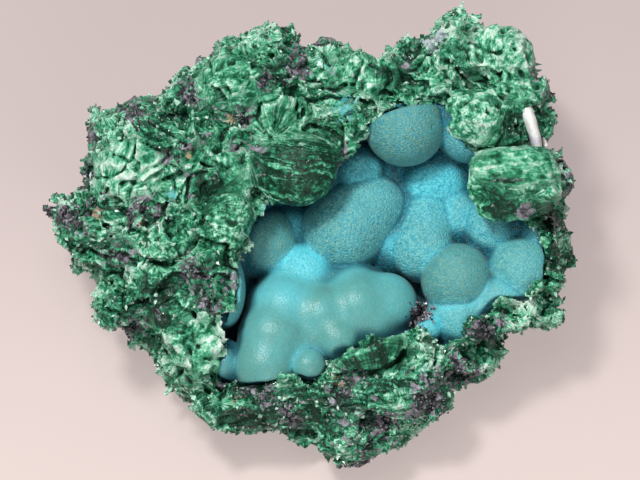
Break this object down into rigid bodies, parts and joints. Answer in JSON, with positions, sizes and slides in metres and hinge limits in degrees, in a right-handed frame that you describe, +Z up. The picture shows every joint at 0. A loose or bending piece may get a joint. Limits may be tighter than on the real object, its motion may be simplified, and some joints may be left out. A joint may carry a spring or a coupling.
{
  "type": "chrysocolla specimen",
  "caption": "Broken nodule of fibrous green malachite, open on one face to a vug lined with botryoidal blue-green chrysocolla, resting on a flat base.",
  "frame": {"origin": "middle of the footprint's bounding box, on the flat base", "axes": "+Z up, +X to the right as the vug is looked into, -Y towards the front, where the open face leans"},
  "size_m": [0.0672, 0.0592, 0.0291],
  "materials": {
    "malachite": "broken fibrous mineral, silky on the fresh breaks",
    "chrysocolla": "sugary crust of microscopic grains, matte",
    "oxide": "dark iron and manganese oxide matrix with small bright crystal faces",
    "calcite": "white translucent vein filling"
  },
  "bodies": {
    "root": {"specimen": "malachite"}
  },
  "joints": []
}
